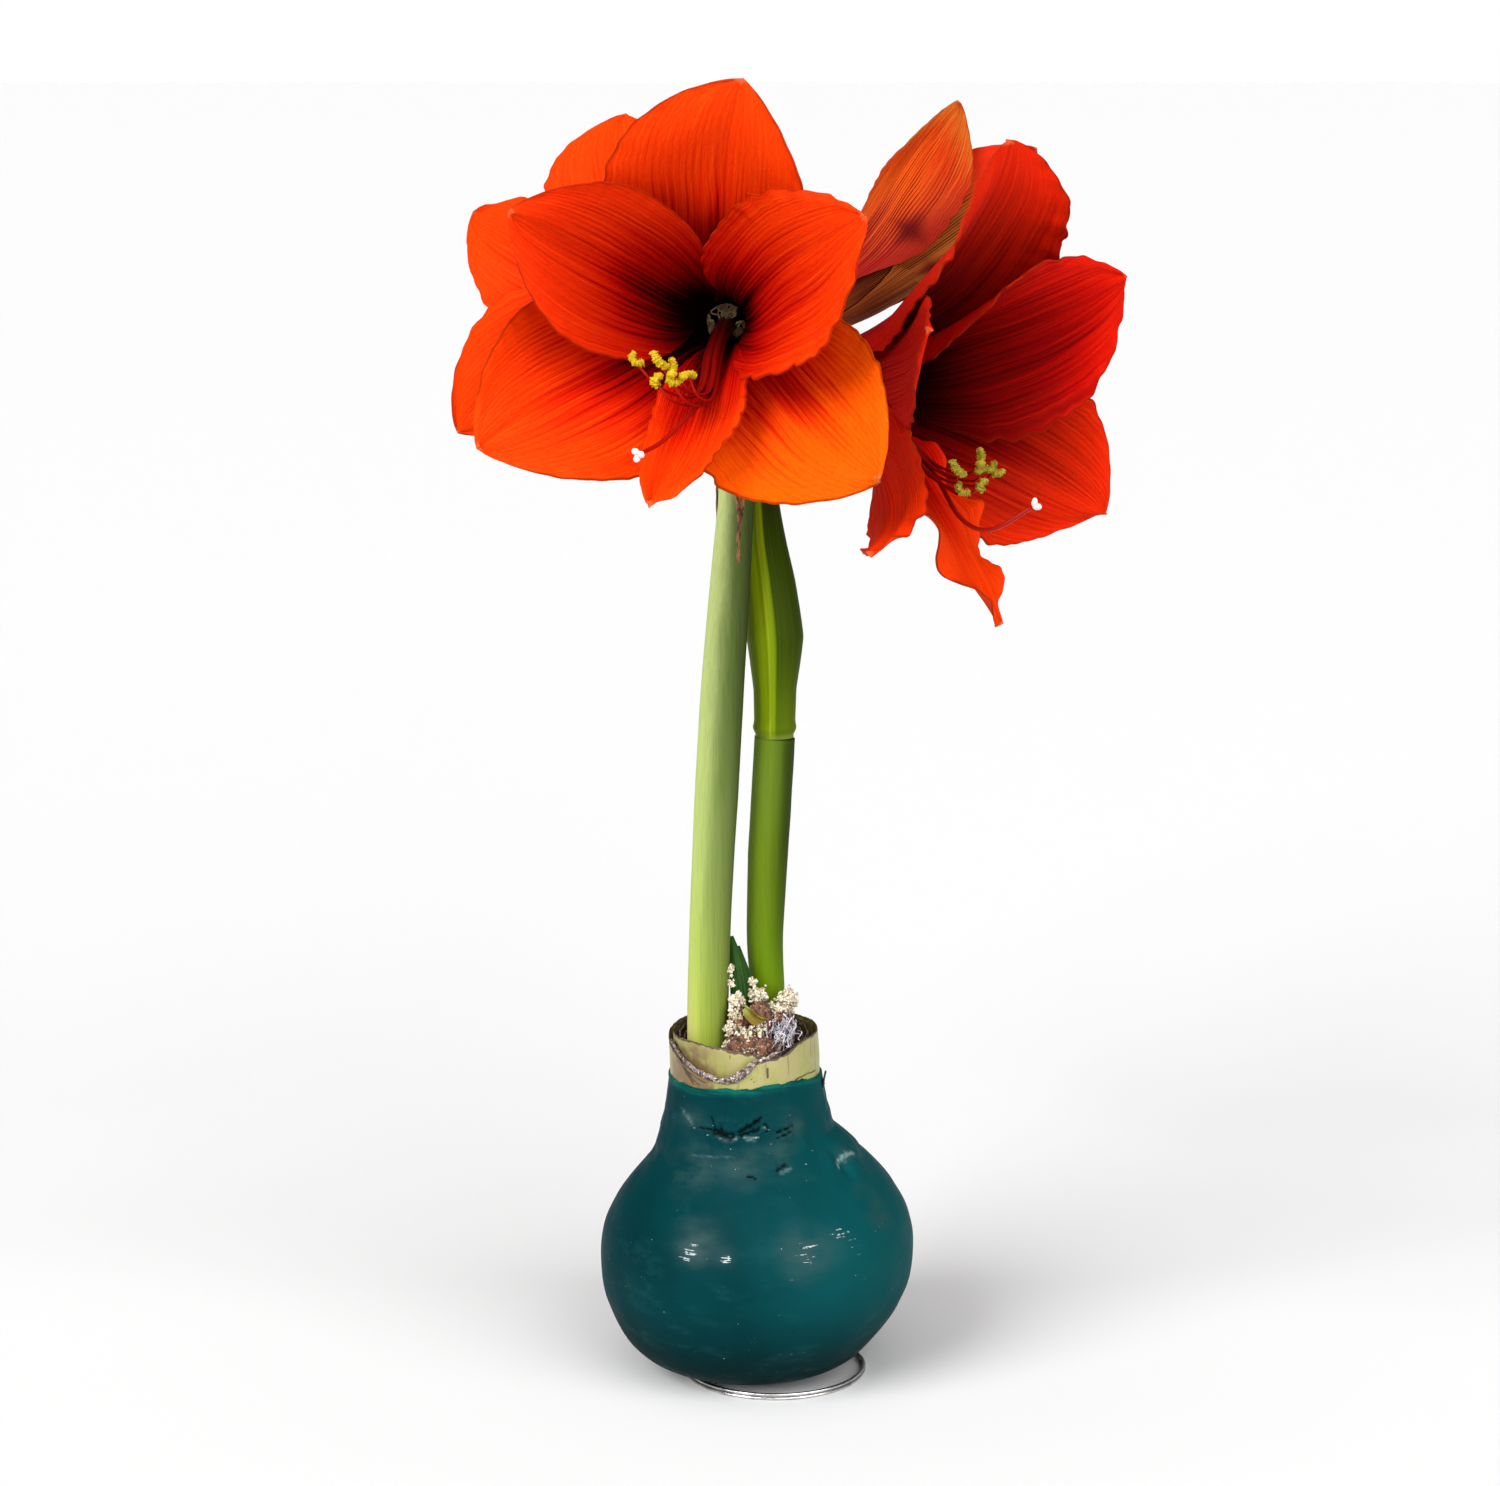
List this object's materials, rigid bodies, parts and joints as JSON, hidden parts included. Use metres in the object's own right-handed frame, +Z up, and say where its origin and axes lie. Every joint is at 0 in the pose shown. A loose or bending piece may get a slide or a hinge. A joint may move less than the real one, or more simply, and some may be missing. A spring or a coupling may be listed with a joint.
{
  "type": "waxed amaryllis bulb",
  "caption": "Flowering bulb in a coat of wax on a coiled wire ring, with a tall stem of large open trumpet blooms and a shorter stem with a closed bud.",
  "frame": {"origin": "middle of the whole plant's plan box, on the surface that the wire ring stands on", "axes": "+Z up along the scapes, -Y to the viewer of the front bloom, +X to that viewer's right"},
  "size_m": [0.211, 0.2736, 0.4124],
  "materials": {
    "tepals": "satin petal, orange-red with darker veins",
    "stamens": "powdery yellow pollen on red filaments",
    "style": "satin red, white stigma",
    "pedicel": "satin green flushed with red",
    "tall_scape": "satin pale green with a waxy bloom",
    "short_scape": "satin fresh green",
    "spathe": "satin yellow-green with fine ribs",
    "dry_bract": "dull dried brown",
    "leaf": "satin dark green",
    "crumbs": "dull cream, flaky",
    "bulb": "satin pale scales with papery brown edges",
    "wax": "satin dark teal wax",
    "wire": "bright drawn wire"
  },
  "bodies": {
    "root": {"wire_stand": "wire", "wax_coat": "wax", "bulb": "bulb", "scape_tall": "tall_scape", "scape_short": "short_scape", "spathe_bud": "spathe", "bract_front": "dry_bract", "bract_back": "dry_bract", "leaf_front": "leaf", "leaf_back": "leaf", "dry_tuft": "crumbs", "bloom_front": "tepals", "stamens_front": "stamens", "style_front": "style", "pedicel_front": "pedicel", "bloom_right": "tepals", "stamens_right": "stamens", "style_right": "style", "pedicel_right": "pedicel", "bloom_back": "tepals", "stamens_back": "stamens", "style_back": "style", "pedicel_back": "pedicel", "bloom_opening": "tepals", "stamens_opening": "stamens", "style_opening": "style", "pedicel_opening": "pedicel"}
  },
  "joints": []
}
